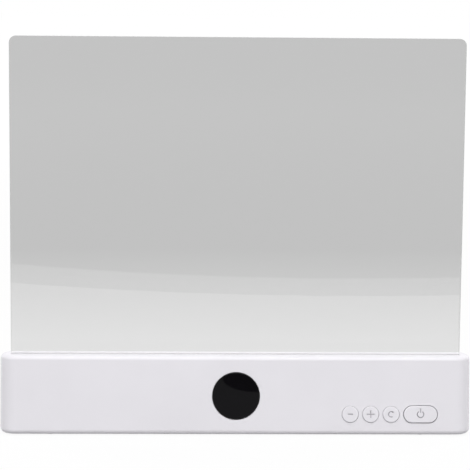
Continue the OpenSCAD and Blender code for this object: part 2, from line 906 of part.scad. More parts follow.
// Plunger of one switch
module plunger(x) {
    color("SaddleBrown")
    on_front()
        translate([x, button_v, -stem_end - plunger_out - plunger_in])
            cylinder(d = plunger_d, h = plunger_out + plunger_in, $fn = curve_n);
}

module minus_plunger() {
    plunger(minus_x);
}

module plus_plunger() {
    plunger(plus_x);
}

module cycle_plunger() {
    plunger(cycle_x);
}

module power_plunger() {
    plunger(power_x);
}

module battery_cell() {
    color("LightSlateGray")
    on_rear()
        translate([-cell_x - cell_w, cell_low_v + cell_h / 2, -cell_depth - cell_t / 2])
            rotate([90, 0, 90])
                linear_extrude(cell_w) {
                    square([cell_h - 2 * cell_edge_r, cell_t], center = true);
                    square([cell_h, cell_t - 2 * cell_edge_r], center = true);
                    for (a = [-1, 1], b = [-1, 1])
                        translate([a * (cell_h / 2 - cell_edge_r), b * (cell_t / 2 - cell_edge_r)])
                            circle(cell_edge_r, $fn = curve_n);
                }
}

module battery_tape() {
    color("DimGray")
    on_rear()
        translate([-cell_x - (cell_w + foam_w) / 2, cell_low_v + (cell_h - foam_h) / 2, -cell_depth])
            cube([foam_w, foam_h, foam_t]);
}

// Battery lead on one side of the plug
module battery_lead(side) {
    out = lead_pair / 2 * side;
    start = front_point(plug_x, socket_v + out, board_rear + socket_h / 2);
    end = rear_point(cell_x + cell_w, cell_low_v + cell_h / 2 + out, cell_depth + cell_t / 2);
    reach = [(start[0] - end[0]) / 2, 0, 0];
    lead([start, start - reach, end + reach, end]);
}

module red_lead() {
    color("FireBrick")
    battery_lead(1);
}

module black_lead() {
    color([0.1, 0.1, 0.1])
    battery_lead(-1);
}

module battery_plug() {
    color("Ivory")
    on_front()
        translate([plug_x, socket_v - plug_w / 2, -board_rear - socket_h / 2 - plug_h / 2])
            cube([plug_l, plug_w, plug_h]);
}

module battery_socket() {
    color("Ivory")
    on_front()
        translate([socket_x, socket_v - socket_w / 2, -board_rear - socket_h])
            difference() {
                cube([socket_l, socket_w, socket_h]);
                translate([-cut_over, socket_wall, socket_wall])
                    cube([plug_in + cut_over, plug_w + 2 * plug_fit, plug_h + 2 * plug_fit]);
            }
}

module usb_shell() {
    color("Silver")
    on_front()
        translate([port_end_x - port_l, port_v, -port_depth])
            rotate([90, 0, 90])
                difference() {
                    linear_extrude(port_l)
                        slot_shape(port_w, port_h);
                    translate([0, 0, port_wall])
                        linear_extrude(port_l)
                            slot_shape(port_w - 2 * port_wall, port_h - 2 * port_wall);
                }
}

module usb_tongue() {
    color([0.1, 0.1, 0.1])
    on_front()
        translate([port_end_x - port_l + port_wall, port_v - tongue_w / 2, -port_depth - tongue_t / 2])
            cube([tongue_end_x - port_end_x + port_l - port_wall, tongue_w, tongue_t]);
}

// Cross-drive screw along Z, head on top of the seat plane
module screw(shank_d, shank_l, top_d, top_h) {
    difference() {
        union() {
            translate([0, 0, -shank_l])
                cylinder(d = shank_d, h = shank_l, $fn = curve_n);
            cylinder(d = top_d, h = top_h, $fn = curve_n);
        }
        for (turn = [0, 90])
            rotate(turn)
                translate([-drive_w / 2, -drive_line / 2, top_h - drive_depth])
                    cube([drive_w, drive_line, drive_depth + cut_over]);
    }
}

module case_screws() {
    color("DarkGray")
    for (p = post_at)
        translate([p[0], seat_t, p[1]])
            rotate([-90, 0, 0])
                screw(screw_d, screw_l, head_d, head_h);
}

module board_screws() {
    color("DarkGray")
    on_front()
        for (p = board_screw_at)
            translate([p[0], p[1], -board_rear])
                rotate([180, 0, 0])
                    screw(board_screw_d, board_screw_l, board_head_d, board_head_h);
}

module feet() {
    color("Silver")
    for (side = [-1, 1], face = [-1, 1])
        translate([side * foot_x, face * foot_offset, 0])
            cylinder(d = foot_d, h = foot_proud + foot_pocket, $fn = curve_n);
}

front_shell();
rear_shell();
light_panel();
panel_holder();
panel_pins();
led_board();
leds();
led_leads();
window_lens();
window_tape();
display_module();
main_board();
board_chips();
switch_bodies();
minus_button();
plus_button();
cycle_button();
power_button();
minus_plunger();
plus_plunger();
cycle_plunger();
power_plunger();
battery_cell();
battery_tape();
red_lead();
black_lead();
battery_plug();
battery_socket();
usb_shell();
usb_tongue();
case_screws();
board_screws();
feet();
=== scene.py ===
import json
import math

import bmesh
import bpy
from mathutils import Matrix, Vector

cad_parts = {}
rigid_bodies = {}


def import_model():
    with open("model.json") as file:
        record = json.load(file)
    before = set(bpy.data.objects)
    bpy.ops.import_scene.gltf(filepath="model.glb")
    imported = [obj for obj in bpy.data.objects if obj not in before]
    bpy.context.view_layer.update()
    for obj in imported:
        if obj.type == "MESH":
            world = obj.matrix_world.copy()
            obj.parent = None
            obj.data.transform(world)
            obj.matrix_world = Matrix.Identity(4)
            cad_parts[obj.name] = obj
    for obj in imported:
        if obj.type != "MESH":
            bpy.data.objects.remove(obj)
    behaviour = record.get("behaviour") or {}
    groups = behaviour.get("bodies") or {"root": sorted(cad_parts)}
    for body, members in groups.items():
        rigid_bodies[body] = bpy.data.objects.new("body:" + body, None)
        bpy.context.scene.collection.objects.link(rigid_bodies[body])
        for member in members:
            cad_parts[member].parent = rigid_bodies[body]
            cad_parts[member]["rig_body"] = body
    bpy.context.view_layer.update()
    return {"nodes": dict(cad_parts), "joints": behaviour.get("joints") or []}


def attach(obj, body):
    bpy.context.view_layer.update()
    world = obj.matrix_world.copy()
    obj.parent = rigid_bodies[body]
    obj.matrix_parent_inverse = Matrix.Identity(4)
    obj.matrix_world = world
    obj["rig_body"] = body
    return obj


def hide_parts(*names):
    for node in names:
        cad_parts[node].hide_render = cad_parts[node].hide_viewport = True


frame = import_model()

MM = 0.001
ACROSS = Vector((1.0, 0.0, 0.0))
BACK = Vector((0.0, 1.0, 0.0))
UP = Vector((0.0, 0.0, 1.0))

# The keys slide straight into the leaning front face
INTO_FACE = Vector(frame["joints"][0]["axis"])
OUT_OF_FACE = -INTO_FACE
UP_FACE = OUT_OF_FACE.cross(ACROSS)

# Merging and shading of the shapes
WELD = 0.001 * MM
FLAT_ANGLE = math.radians(0.2)
SHARP_ANGLE = math.radians(28)
RIM_ANGLE = math.radians(50)
NEAR = 0.02 * MM
ROUND_SIDES = 128
OVAL_SIDES = 64


def reach(node, direction):
    """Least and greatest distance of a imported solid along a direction."""
    spans = [v.co.dot(direction) for v in frame["nodes"][node].data.vertices]
    return min(spans), max(spans)


def middle(node, direction):
    """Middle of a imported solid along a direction."""
    low, high = reach(node, direction)
    return (low + high) / 2


def size(node, direction):
    """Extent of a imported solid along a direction."""
    low, high = reach(node, direction)
    return high - low


# Main levels of the housing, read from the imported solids
FACE_LEVEL = reach("window_lens", OUT_OF_FACE)[1]
TOP_LEVEL = reach("front_shell", UP)[1]
GROUND_LEVEL = reach("front_shell", UP)[0]
END_LEVEL = reach("front_shell", ACROSS)[1]


# Camera and stage

# Picture side and focal length in pixels, sensor width in millimetres
PHOTO_SIDE = 470
PHOTO_FOCAL = 1897.72
SENSOR = 36.0
CAMERA_AIM = Vector((-0.856 * MM, 0.0, 94.621 * MM))
CAMERA_DISTANCE = 0.9
CAMERA_PITCH = math.radians(7.459)
CAMERA_TURN = math.radians(-1.625)
CAMERA_ROLL = math.radians(0.483)


def place_camera():
    """Camera at the viewing angle of the picture."""
    data = bpy.data.cameras.new("camera")
    data.sensor_width = SENSOR
    data.lens = PHOTO_FOCAL / PHOTO_SIDE * SENSOR
    camera = bpy.data.objects.new("camera", data)
    bpy.context.scene.collection.objects.link(camera)
    tilt = Matrix.Rotation(math.pi / 2 - CAMERA_PITCH, 4, "X")
    turn = Matrix.Rotation(CAMERA_TURN, 4, "Z") @ tilt @ Matrix.Rotation(CAMERA_ROLL, 4, "Z")
    ahead = turn.to_3x3() @ -UP
    camera.matrix_world = Matrix.Translation(CAMERA_AIM - CAMERA_DISTANCE * ahead) @ turn
    bpy.context.scene.camera = camera


def srgb(red, green, blue):
    """Linear colour of a screen colour in 0 to 255."""
    def linear(value):
        share = value / 255
        return share / 12.92 if share <= 0.04045 else ((share + 0.055) / 1.055) ** 2.4
    return linear(red), linear(green), linear(blue), 1.0


def grey(level):
    """Linear grey colour."""
    return level, level, level, 1.0


# The floor glows nearly white to the eye, and a share of its paint adds the shadow
FLOOR_SIDE = 24.0
FLOOR_COLOUR = 0.34
FLOOR_ROUGHNESS = 0.9
FLOOR_GLOW = 0.915
FLOOR_FAR_GLOW = 0.965
FLOOR_NEAR_R = 0.5
FLOOR_FAR_R = 2.5
FLOOR_SHADE = 0.2
ROOM_AMBIENT = 0.55


def seen_directly(tree):
    """Share of the rays that come from the camera, a gloss or a clear piece."""
    path = tree.nodes.new("ShaderNodeLightPath")
    both = tree.nodes.new("ShaderNodeMath")
    both.operation = "MAXIMUM"
    tree.links.new(path.outputs["Is Camera Ray"], both.inputs[0])
    tree.links.new(path.outputs["Is Glossy Ray"], both.inputs[1])
    all_three = tree.nodes.new("ShaderNodeMath")
    all_three.operation = "MAXIMUM"
    tree.links.new(both.outputs[0], all_three.inputs[0])
    tree.links.new(path.outputs["Is Transmission Ray"], all_three.inputs[1])
    return all_three.outputs[0]


def light_room():
    """White room that lights the object softly."""
    world = bpy.data.worlds.new("white_room")
    world.use_nodes = True
    tree = world.node_tree
    background = tree.nodes["Background"]
    background.inputs["Color"].default_value = grey(1.0)
    strength = tree.nodes.new("ShaderNodeMapRange")
    strength.inputs["To Min"].default_value = ROOM_AMBIENT
    strength.inputs["To Max"].default_value = 1.0
    tree.links.new(seen_directly(tree), strength.inputs["Value"])
    tree.links.new(strength.outputs["Result"], background.inputs["Strength"])
    bpy.context.scene.world = world


def add_stage(bm, name, material):
    """Turns a shape into a stage object."""
    mesh = bpy.data.meshes.new(name)
    bm.to_mesh(mesh)
    bm.free()
    mesh.materials.append(material)
    thing = bpy.data.objects.new(name, mesh)
    bpy.context.scene.collection.objects.link(thing)
    return thing


def lay_floor():
    """Pale floor that shows white and keeps a soft shadow."""
    material = bpy.data.materials.new("pale_floor")
    material.use_nodes = True
    tree = material.node_tree
    paint = tree.nodes["Principled BSDF"]
    paint.inputs["Base Color"].default_value = grey(FLOOR_COLOUR)
    paint.inputs["Roughness"].default_value = FLOOR_ROUGHNESS
    paint.inputs["Specular IOR Level"].default_value = 0.0
    glow = tree.nodes.new("ShaderNodeEmission")
    place = tree.nodes.new("ShaderNodeTexCoord")
    away = tree.nodes.new("ShaderNodeVectorMath")
    away.operation = "LENGTH"
    level = tree.nodes.new("ShaderNodeMapRange")
    level.interpolation_type = "SMOOTHSTEP"
    level.inputs["From Min"].default_value = FLOOR_NEAR_R
    level.inputs["From Max"].default_value = FLOOR_FAR_R
    level.inputs["To Min"].default_value = FLOOR_GLOW
    level.inputs["To Max"].default_value = FLOOR_FAR_GLOW
    tree.links.new(place.outputs["Object"], away.inputs[0])
    tree.links.new(away.outputs["Value"], level.inputs["Value"])
    tree.links.new(level.outputs["Result"], glow.inputs["Strength"])
    dim = tree.nodes.new("ShaderNodeMixShader")
    dim.inputs["Fac"].default_value = FLOOR_SHADE
    lit = tree.nodes.new("ShaderNodeAddShader")
    pick = tree.nodes.new("ShaderNodeMixShader")
    black = tree.nodes.new("ShaderNodeEmission")
    black.inputs["Strength"].default_value = 0.0
    tree.links.new(black.outputs[0], dim.inputs[1])
    tree.links.new(paint.outputs[0], dim.inputs[2])
    tree.links.new(glow.outputs[0], lit.inputs[0])
    tree.links.new(dim.outputs[0], lit.inputs[1])
    tree.links.new(seen_directly(tree), pick.inputs["Fac"])
    tree.links.new(paint.outputs[0], pick.inputs[1])
    tree.links.new(lit.outputs[0], pick.inputs[2])
    tree.links.new(pick.outputs[0], tree.nodes["Material Output"].inputs["Surface"])
    bm = bmesh.new()
    bmesh.ops.create_grid(bm, x_segments=1, y_segments=1, size=FLOOR_SIDE / 2)
    add_stage(bm, "pale_floor", material)


# Cards in front of the lamp that only its glossy pieces mirror, shown from the first mirroring on
FIRST_MIRRORING = 0.5
UNIT_HALF = 0.5
MAT_NEAR_Y = -393 * MM
MAT_MIDDLE_X = 88 * MM
MAT_NEAR_R = 540 * MM
MAT_LENGTH = 6.0
MAT_SPREAD = 6.0
MAT_WALL = 1.5
MAT_HEIGHT = 2 * MM
MAT_LEVEL = 0.2
CARD_MIDDLE = Vector((20 * MM, -340 * MM, 1 * MM))
CARD_W = 640 * MM
CARD_L = 300 * MM
CARD_LEVEL = 1.3
HOOD_MIDDLE = Vector((246 * MM, -6000 * MM, 258 * MM))
HOOD_HALF_W = 121 * MM
HOOD_HALF_H = 48.7 * MM
HOOD_LEVEL = 0.03


def mirrored_only(bm, name, level):
    """Stage object of one grey that is seen in reflections alone, also through a clear piece."""
    material = bpy.data.materials.new(name)
    material.use_nodes = True
    tree = material.node_tree
    glow = tree.nodes.new("ShaderNodeEmission")
    glow.inputs["Color"].default_value = grey(level)
    nothing = tree.nodes.new("ShaderNodeBsdfTransparent")
    path = tree.nodes.new("ShaderNodeLightPath")
    pick = tree.nodes.new("ShaderNodeMixShader")
    mirrored = tree.nodes.new("ShaderNodeMath")
    mirrored.operation = "GREATER_THAN"
    mirrored.inputs[1].default_value = FIRST_MIRRORING
    tree.links.new(path.outputs["Glossy Depth"], mirrored.inputs[0])
    tree.links.new(mirrored.outputs[0], pick.inputs["Fac"])
    tree.links.new(nothing.outputs[0], pick.inputs[1])
    tree.links.new(glow.outputs[0], pick.inputs[2])
    tree.links.new(pick.outputs[0], tree.nodes["Material Output"].inputs["Surface"])
    tree.nodes.remove(tree.nodes["Principled BSDF"])
    thing = add_stage(bm, name, material)
    thing.visible_camera = False
    thing.visible_diffuse = False
    thing.visible_shadow = False


def lay_dark_mat():
    """Long mat with a round near end and a wall at its far end."""
    bm = bmesh.new()
    bmesh.ops.create_circle(bm, cap_ends=True, segments=ROUND_SIDES, radius=MAT_NEAR_R)
    far = [v for v in bm.verts if v.co.y < NEAR]
    bmesh.ops.scale(bm, vec=(MAT_SPREAD, 0.0, 1.0), verts=far)
    bmesh.ops.translate(bm, vec=-MAT_LENGTH * BACK, verts=far)
    middle_point = Vector((MAT_MIDDLE_X, MAT_NEAR_Y - MAT_NEAR_R, MAT_HEIGHT))
    bmesh.ops.translate(bm, vec=middle_point, verts=bm.verts)
    bmesh.ops.remove_doubles(bm, verts=bm.verts, dist=WELD)
    end_y = min(v.co.y for v in bm.verts)
    end = [e for e in bm.edges if all(v.co.y < end_y + NEAR for v in e.verts)]
    wall = bmesh.ops.extrude_edge_only(bm, edges=end)["geom"]
    raised = [v for v in wall if isinstance(v, bmesh.types.BMVert)]
    bmesh.ops.translate(bm, vec=MAT_WALL * UP, verts=raised)
    mirrored_only(bm, "dark_mat", MAT_LEVEL)


def lay_bright_card():
    """White reflector on the floor that brightens the foot of the panel."""
    bm = bmesh.new()
    bmesh.ops.create_grid(bm, x_segments=1, y_segments=1, size=UNIT_HALF)
    bmesh.ops.scale(bm, vec=(CARD_W, CARD_L, 1.0), verts=bm.verts)
    bmesh.ops.translate(bm, vec=CARD_MIDDLE, verts=bm.verts)
    mirrored_only(bm, "bright_card", CARD_LEVEL)


def stand_dark_hood():
    """Small dark oval that the round window mirrors."""
    bm = bmesh.new()
    upright = Matrix.Rotation(math.pi / 2, 4, "X")
    bmesh.ops.create_circle(bm, cap_ends=True, segments=OVAL_SIDES, radius=1.0)
    bmesh.ops.scale(bm, vec=(HOOD_HALF_W, HOOD_HALF_H, 1.0), verts=bm.verts)
    bmesh.ops.transform(bm, matrix=Matrix.Translation(HOOD_MIDDLE) @ upright, verts=bm.verts)
    mirrored_only(bm, "dark_hood", HOOD_LEVEL)


# Lamps, with the place of a pair given for the right one
LAMP_AIM = Vector((0.0, 0.0, 0.05))
TOP_LAMP = {"place": (0.0, -0.4, 1.3), "width": 1.2, "height": 0.7, "power": 7.4}
FRONT_LAMP = {"place": (0.0, -1.8, 1.0), "width": 1.2, "height": 0.8, "power": 12.8}
SIDE_LAMP = {"place": (1.56, -0.9, 0.7), "width": 1.0, "height": 1.0, "power": 3.5}
REAR_LAMP = {"place": (1.7, 1.6, 0.6), "width": 1.0, "height": 1.0, "power": 17.0}


def hang_softbox(name, place, width, height, power, side=1, mirrored=False):
    """Soft rectangular studio lamp aimed at the object."""
    data = bpy.data.lights.new(name, "AREA")
    data.shape = "RECTANGLE"
    data.size = width
    data.size_y = height
    data.energy = power
    lamp = bpy.data.objects.new(name, data)
    bpy.context.scene.collection.objects.link(lamp)
    lamp.location = Vector((side * place[0], place[1], place[2]))
    lamp.rotation_euler = (LAMP_AIM - lamp.location).to_track_quat("-Z", "Y").to_euler()
    lamp.visible_camera = False
    lamp.visible_glossy = mirrored
    lamp.visible_transmission = False


def light_studio():
    """Soft lamps overhead and all round the object."""
    hang_softbox("top_softbox", **TOP_LAMP, mirrored=True)
    hang_softbox("front_softbox", **FRONT_LAMP)
    for ending, lamp in (("softbox", SIDE_LAMP), ("rear_softbox", REAR_LAMP)):
        hang_softbox(f"left_{ending}", **lamp, side=-1)
        hang_softbox(f"right_{ending}", **lamp, side=1)


# Finishes

# A wave of this scale repeats once in each pitch
WAVE_SCALE = math.pi / 10


class Finish:
    """One surface finish, with its patterns in object coordinates."""

    def __init__(self, name, roughness, metallic=0.0, ior=1.5, clearness=0.0):
        self.material = bpy.data.materials.new(name)
        self.material.use_nodes = True
        self.tree = self.material.node_tree
        self.shader = self.tree.nodes["Principled BSDF"]
        self.shader.inputs["Roughness"].default_value = roughness
        self.shader.inputs["Metallic"].default_value = metallic
        self.shader.inputs["IOR"].default_value = ior
        self.shader.inputs["Transmission Weight"].default_value = clearness
        self.place = self.add("ShaderNodeTexCoord").outputs["Object"]

    def add(self, kind):
        """New node of a kind."""
        return self.tree.nodes.new(kind)

    def join(self, output, socket):
        """Link from an output to a socket."""
        self.tree.links.new(output, socket)

    def mapped(self, pitch):
        """Object coordinates counted in pitches along each axis."""
        mapping = self.add("ShaderNodeMapping")
        mapping.inputs["Scale"].default_value = [1 / p for p in pitch]
        self.join(self.place, mapping.inputs["Vector"])
        return mapping.outputs["Vector"]

    def clouds(self, pitch, detail=2.0, stretch=(1.0, 1.0, 1.0)):
        """Soft uneven pattern with patches of about one pitch."""
        noise = self.add("ShaderNodeTexNoise")
        noise.inputs["Scale"].default_value = 1.0
        noise.inputs["Detail"].default_value = detail
        self.join(self.mapped([pitch * s for s in stretch]), noise.inputs["Vector"])
        return noise.outputs["Fac"]

    def grains(self, pitch):
        """Distance from the middle of packed grains."""
        cells = self.add("ShaderNodeTexVoronoi")
        cells.inputs["Scale"].default_value = 1.0
        self.join(self.mapped([pitch] * 3), cells.inputs["Vector"])
        return cells.outputs["Distance"]

    def stripes(self, pitch, axis):
        """Even bands along one axis."""
        wave = self.add("ShaderNodeTexWave")
        wave.bands_direction = axis
        wave.inputs["Scale"].default_value = WAVE_SCALE
        self.join(self.mapped([pitch] * 3), wave.inputs["Vector"])
        return wave.outputs["Fac"]

    def height(self):
        """Height above the ground."""
        parts = self.add("ShaderNodeSeparateXYZ")
        self.join(self.place, parts.inputs["Vector"])
        return parts.outputs["Z"]

    def between(self, pattern, low, high, low_at=0.3, high_at=0.7, course="SMOOTHSTEP"):
        """Number that follows a pattern from low to high."""
        spread = self.add("ShaderNodeMapRange")
        spread.interpolation_type = course
        spread.inputs["From Min"].default_value = low_at
        spread.inputs["From Max"].default_value = high_at
        spread.inputs["To Min"].default_value = low
        spread.inputs["To Max"].default_value = high
        self.join(pattern, spread.inputs["Value"])
        return spread.outputs["Result"]

    def blend(self, pattern, low, high):
        """Colour that follows a pattern from low to high, each a colour or an output."""
        mix = self.add("ShaderNodeMix")
        mix.data_type = "RGBA"
        self.join(pattern, mix.inputs["Factor"])
        for socket, colour in ((mix.inputs["A"], low), (mix.inputs["B"], high)):
            if isinstance(colour, bpy.types.NodeSocket):
                self.join(colour, socket)
            else:
                socket.default_value = colour
        return mix.outputs["Result"]

    def colour(self, output):
        """Colour of the surface."""
        self.join(output, self.shader.inputs["Base Color"])

    def gloss(self, output):
        """Roughness that changes over the surface."""
        self.join(output, self.shader.inputs["Roughness"])

    def relief(self, pattern, height):
        """Fine surface relief of a height in metres."""
        bump = self.add("ShaderNodeBump")
        bump.inputs["Distance"].default_value = height
        self.join(pattern, bump.inputs["Height"])
        self.join(bump.outputs["Normal"], self.shader.inputs["Normal"])


FLOW_PITCH = 25 * MM
MOULDED_SPREAD = 0.05


def moulded(name, dark, light, roughness, grain, height):
    """Moulded plastic with a fine spark-eroded grain and faint flow clouds."""
    finish = Finish(name, roughness)
    clouds = finish.clouds(FLOW_PITCH)
    finish.colour(finish.blend(finish.between(clouds, 0.0, 1.0), dark, light))
    texture = finish.clouds(grain, detail=3.0)
    finish.gloss(finish.between(texture, roughness - MOULDED_SPREAD, roughness + MOULDED_SPREAD))
    finish.relief(texture, height)
    return finish.material


DRAWN_PITCH = 0.25 * MM
DRAWN_HEIGHT = 0.004 * MM
DRAWN_SPREAD = 0.08


def brushed(name, dark, light, roughness, stretch):
    """Metal with fine drawn lines."""
    finish = Finish(name, roughness, metallic=1.0)
    lines = finish.clouds(DRAWN_PITCH, stretch=stretch)
    finish.colour(finish.blend(finish.between(lines, 0.0, 1.0), dark, light))
    finish.gloss(finish.between(lines, roughness - DRAWN_SPREAD, roughness + DRAWN_SPREAD))
    finish.relief(lines, DRAWN_HEIGHT)
    return finish.material


# Tints of the panel are shares of light let through by one face
PANEL_IOR = 1.5
PANEL_HAZE = 0.99
PANEL_HAZE_PITCH = 30 * MM
PANEL_TINT_TOP = 0.575
# The foot tint is lighter partly for the sparser print and partly as painted light
PANEL_TINT_FOOT = 0.735
PANEL_TINT_HIGH_Z = 88 * MM
PANEL_TINT_LOW_Z = 38 * MM
PANEL_CLEAR_COLOUR = 0.97
PANEL_CLEAR_Z = TOP_LEVEL + 0.7 * MM
PANEL_CLEAR_FADE = 0.1 * MM


def clear_sheet():
    """Polished clear plastic of the panel front."""
    finish = Finish("clear_sheet", roughness=0.0, ior=PANEL_IOR, clearness=1.0)
    haze = finish.clouds(PANEL_HAZE_PITCH)
    finish.colour(finish.blend(haze, grey(PANEL_HAZE), grey(1.0)))
    return finish.material


def print_and_painted_light_sheet():
    """Rear of the panel, toned by its fine light-spreading print, heavier towards the top, with
    painted light that lightens the foot.
    """
    finish = Finish("print_and_painted_light_sheet", roughness=0.0, ior=PANEL_IOR, clearness=1.0)
    height = finish.height()
    # Lighter towards the foot: partly the sparser print there, partly painted light standing in
    # for the pale floor mirrored in the panel
    fall = finish.between(
        height, 1.0, 0.0, low_at=PANEL_TINT_LOW_Z, high_at=PANEL_TINT_HIGH_Z, course="LINEAR")
    # A clear face lets through the square root of its colour
    tone = finish.blend(fall, grey(PANEL_TINT_TOP ** 2), grey(PANEL_TINT_FOOT ** 2))
    start = finish.between(
        height, 0.0, 1.0,
        low_at=PANEL_CLEAR_Z - PANEL_CLEAR_FADE, high_at=PANEL_CLEAR_Z + PANEL_CLEAR_FADE)
    finish.colour(finish.blend(start, grey(PANEL_CLEAR_COLOUR), tone))
    return finish.material


def satin_edge():
    """Fine-sawn edges of the panel, pale and half clear."""
    finish = Finish("satin_edge", roughness=0.4, ior=PANEL_IOR, clearness=0.15)
    marks = finish.clouds(0.2 * MM, stretch=(1.0, 12.0, 1.0))
    finish.colour(finish.blend(marks, srgb(206, 209, 208), srgb(216, 219, 218)))
    finish.gloss(finish.between(marks, low=0.32, high=0.48))
    finish.relief(marks, height=0.006 * MM)
    return finish.material


def window_black():
    """Polished black plastic with faint wipe marks."""
    finish = Finish("window_black", roughness=0.01)
    wipes = finish.clouds(6 * MM, stretch=(3.0, 1.0, 0.4))
    finish.colour(finish.blend(wipes, srgb(9, 8, 11), srgb(11, 10, 13)))
    finish.gloss(finish.between(wipes, low=0.005, high=0.015))
    return finish.material


def circuit_green():
    """Green board with copper tracks and fine pads."""
    finish = Finish("circuit_green", roughness=0.35)
    tracks = finish.between(finish.stripes(2.2 * MM, "X"), 0.0, 1.0, low_at=0.70, high_at=0.80)
    pads = finish.between(finish.grains(3.1 * MM), 1.0, 0.0, low_at=0.10, high_at=0.14)
    board = finish.blend(tracks, srgb(24, 92, 58), srgb(38, 112, 72))
    finish.colour(finish.blend(pads, board, srgb(196, 168, 96)))
    finish.relief(tracks, height=0.03 * MM)
    return finish.material


def strip_white():
    """White light strip board with silver tracks along it."""
    finish = Finish("strip_white", roughness=0.4)
    tracks = finish.between(finish.stripes(1.9 * MM, "Y"), 0.0, 1.0, low_at=0.84, high_at=0.90)
    finish.colour(finish.blend(tracks, srgb(236, 236, 232), srgb(200, 196, 180)))
    finish.relief(tracks, height=0.02 * MM)
    return finish.material


def emitter_yellow():
    """Yellow emitter gel with fine phosphor grain."""
    finish = Finish("emitter_yellow", roughness=0.45)
    grain = finish.grains(0.2 * MM)
    finish.colour(finish.blend(grain, srgb(226, 186, 70), srgb(242, 222, 140)))
    finish.relief(grain, height=0.02 * MM)
    return finish.material


def cell_foil():
    """Silver pouch foil with soft creases."""
    finish = Finish("cell_foil", roughness=0.32, metallic=0.85)
    creases = finish.clouds(7 * MM, detail=3.0, stretch=(2.5, 1.0, 1.0))
    finish.colour(finish.blend(creases, srgb(160, 164, 170), srgb(204, 207, 211)))
    finish.gloss(finish.between(creases, low=0.24, high=0.42))
    finish.relief(creases, height=0.25 * MM)
    return finish.material


def foam_grey():
    """Grey foam tape with open pores."""
    finish = Finish("foam_grey", roughness=0.9)
    pores = finish.grains(0.5 * MM)
    finish.colour(finish.blend(pores, srgb(58, 58, 60), srgb(112, 112, 114)))
    finish.relief(pores, height=0.15 * MM)
    return finish.material


def lead_finish(name, colour, sheen_colour):
    """Soft sleeve of a thin lead."""
    finish = Finish(name, roughness=0.5)
    clouds = finish.clouds(1.5 * MM)
    finish.colour(finish.blend(clouds, colour, sheen_colour))
    finish.relief(clouds, height=0.02 * MM)
    return finish.material


def tongue_black():
    """Black contact tongue with a row of gilt contacts."""
    finish = Finish("tongue_black", roughness=0.4)
    contacts = finish.between(finish.stripes(0.5 * MM, "Z"), 0.0, 1.0, low_at=0.55, high_at=0.65)
    finish.colour(finish.blend(contacts, srgb(24, 24, 25), srgb(214, 178, 98)))
    finish.relief(contacts, height=0.02 * MM)
    return finish.material


def pale_silicone():
    """Pale grey silicone with a fine dusty grain."""
    finish = Finish("pale_silicone", roughness=0.8)
    grain = finish.clouds(0.4 * MM, detail=4.0)
    finish.colour(finish.blend(grain, srgb(192, 192, 194), srgb(208, 208, 210)))
    finish.relief(grain, height=0.03 * MM)
    return finish.material


# One finish for each material slot
FINISHES = {
    "shell_white": moulded(
        "shell_white", srgb(227, 225, 230), srgb(229, 227, 232),
        roughness=0.42, grain=0.35 * MM, height=0.006 * MM),
    "button_white": moulded(
        "button_white", srgb(227, 225, 230), srgb(230, 228, 233),
        roughness=0.36, grain=0.3 * MM, height=0.003 * MM),
    "holder_white": moulded(
        "holder_white", srgb(228, 227, 224), srgb(236, 235, 232),
        roughness=0.5, grain=0.5 * MM, height=0.01 * MM),
    "plug_ivory": moulded(
        "plug_ivory", srgb(226, 220, 200), srgb(234, 229, 212),
        roughness=0.45, grain=0.3 * MM, height=0.006 * MM),
    "chip_black": moulded(
        "chip_black", srgb(38, 38, 41), srgb(50, 50, 53),
        roughness=0.6, grain=0.2 * MM, height=0.01 * MM),
    "switch_black": moulded(
        "switch_black", srgb(30, 30, 32), srgb(42, 42, 44),
        roughness=0.5, grain=0.3 * MM, height=0.008 * MM),
    "display_body": moulded(
        "display_body", srgb(24, 24, 26), srgb(36, 36, 39),
        roughness=0.4, grain=0.4 * MM, height=0.006 * MM),
    "plunger_brown": moulded(
        "plunger_brown", srgb(98, 60, 32), srgb(118, 76, 44),
        roughness=0.45, grain=0.3 * MM, height=0.006 * MM),
    "tape_black": moulded(
        "tape_black", srgb(16, 16, 17), srgb(26, 26, 27),
        roughness=0.7, grain=0.3 * MM, height=0.01 * MM),
    "pin_steel": brushed(
        "pin_steel", srgb(168, 170, 172), srgb(206, 207, 209),
        roughness=0.28, stretch=(1.0, 14.0, 1.0)),
    "port_steel": brushed(
        "port_steel", srgb(172, 174, 176), srgb(212, 213, 214),
        roughness=0.26, stretch=(12.0, 1.0, 1.0)),
    "screw_steel": brushed(
        "screw_steel", srgb(150, 152, 154), srgb(196, 197, 199),
        roughness=0.32, stretch=(6.0, 1.0, 6.0)),
    "clear_panel": clear_sheet(),
    "black_window": window_black(),
    "strip_board": strip_white(),
    "emitter": emitter_yellow(),
    "lead_white": lead_finish("lead_white", srgb(214, 214, 212), srgb(230, 230, 228)),
    "lead_red": lead_finish("lead_red", srgb(150, 28, 26), srgb(178, 44, 40)),
    "lead_black": lead_finish("lead_black", srgb(24, 24, 25), srgb(40, 40, 42)),
    "circuit_board": circuit_green(),
    "cell_foil": cell_foil(),
    "foam_grey": foam_grey(),
    "tongue_black": tongue_black(),
    "foot_rubber": pale_silicone(),
}

# Further finishes on parts of a piece
PRINT_AND_PAINTED_LIGHT_SHEET = print_and_painted_light_sheet()
SATIN_EDGE = satin_edge()
# Grey on the floors of the sunk signs is painted shade that darkens the recesses
SIGN_PAINTED_SHADE = moulded(
    "sign_painted_shade", srgb(184, 182, 186), srgb(192, 190, 194),
    roughness=0.5, grain=0.3 * MM, height=0.003 * MM)


# Pieces

def bench_copy(node):
    """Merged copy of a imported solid, with each flat area as one face."""
    bm = bmesh.new()
    bm.from_mesh(frame["nodes"][node].data)
    bmesh.ops.remove_doubles(bm, verts=bm.verts, dist=WELD)
    bmesh.ops.dissolve_limit(bm, angle_limit=FLAT_ANGLE, verts=bm.verts, edges=bm.edges)
    return bm


def rim(bm, on_rim):
    """Sharp edges whose ends both lie where the rim is."""
    bm.normal_update()
    return [
        e for e in bm.edges
        if e.calc_face_angle(0.0) > RIM_ANGLE and all(on_rim(v.co) for v in e.verts)
    ]


